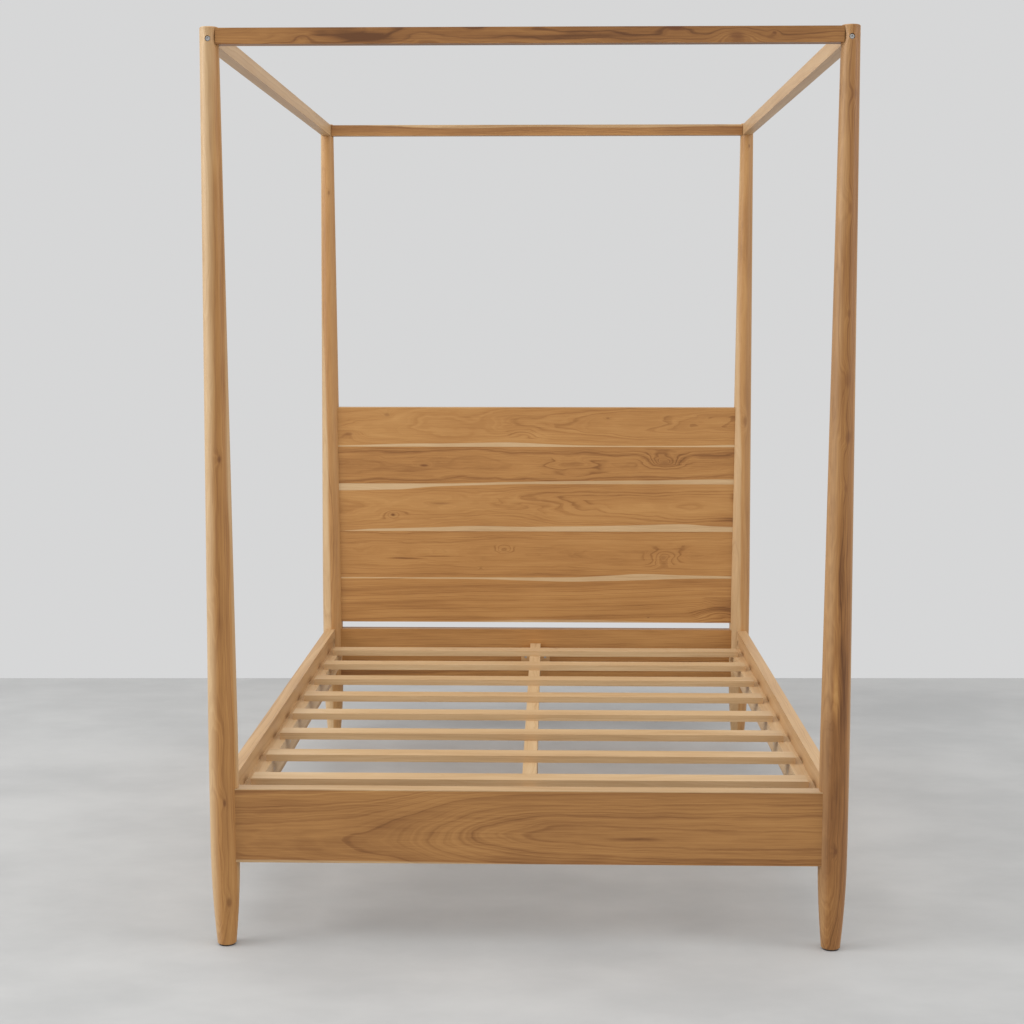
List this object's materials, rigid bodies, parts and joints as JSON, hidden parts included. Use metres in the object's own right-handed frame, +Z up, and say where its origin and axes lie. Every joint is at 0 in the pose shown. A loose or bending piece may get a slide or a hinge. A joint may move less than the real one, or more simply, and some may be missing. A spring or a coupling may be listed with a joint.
{
  "type": "four poster canopy bed",
  "caption": "Teak four poster bed with round tapered posts joined by a square canopy frame, a plank headboard, plain rails and a slatted base.",
  "frame": {"origin": "middle of the bed on the floor, halfway between the four posts", "axes": "+Z up; +Y towards the headboard, -Y towards the foot; +X to the right for a person who stands at the foot and looks at the headboard"},
  "size_m": [1.509, 2.1289, 2.14],
  "materials": {
    "post_teak": "satin",
    "rail_teak": "satin",
    "plank_teak": "satin",
    "slat_teak": "satin",
    "hidden_hardwood": "matte",
    "zinc_steel": "satin",
    "glide_plastic": "matte"
  },
  "bodies": {
    "root": {"post_foot_left": "post_teak", "post_foot_right": "post_teak", "post_head_left": "post_teak", "post_head_right": "post_teak", "canopy_rail_foot": "rail_teak", "canopy_rail_head": "rail_teak", "canopy_rail_left": "rail_teak", "canopy_rail_right": "rail_teak", "foot_rail": "rail_teak", "head_rail": "rail_teak", "side_rail_left": "rail_teak", "side_rail_right": "rail_teak", "headboard_plank_1": "plank_teak", "headboard_plank_2": "plank_teak", "headboard_plank_3": "plank_teak", "headboard_plank_4": "plank_teak", "headboard_plank_5": "plank_teak", "slat_1": "slat_teak", "slat_2": "slat_teak", "slat_3": "slat_teak", "slat_4": "slat_teak", "slat_5": "slat_teak", "slat_6": "slat_teak", "slat_7": "slat_teak", "slat_8": "slat_teak", "slat_ledger_left": "slat_teak", "slat_ledger_right": "slat_teak", "centre_beam": "slat_teak", "beam_cleat_foot": "slat_teak", "beam_cleat_head": "slat_teak", "centre_leg": "slat_teak", "headboard_splines": "hidden_hardwood", "headboard_dowels": "hidden_hardwood", "slat_pegs": "hidden_hardwood", "canopy_dowels": "hidden_hardwood", "canopy_side_bolts": "zinc_steel", "canopy_cross_bolts": "zinc_steel", "canopy_washers": "zinc_steel", "canopy_barrel_nuts": "zinc_steel", "rail_studs": "zinc_steel", "rail_half_moons": "zinc_steel", "rail_nuts": "zinc_steel", "ledger_screws": "zinc_steel", "cleat_screws": "zinc_steel", "centre_leg_stud": "zinc_steel", "foot_glides": "glide_plastic", "centre_leg_glide": "glide_plastic"}
  },
  "joints": []
}
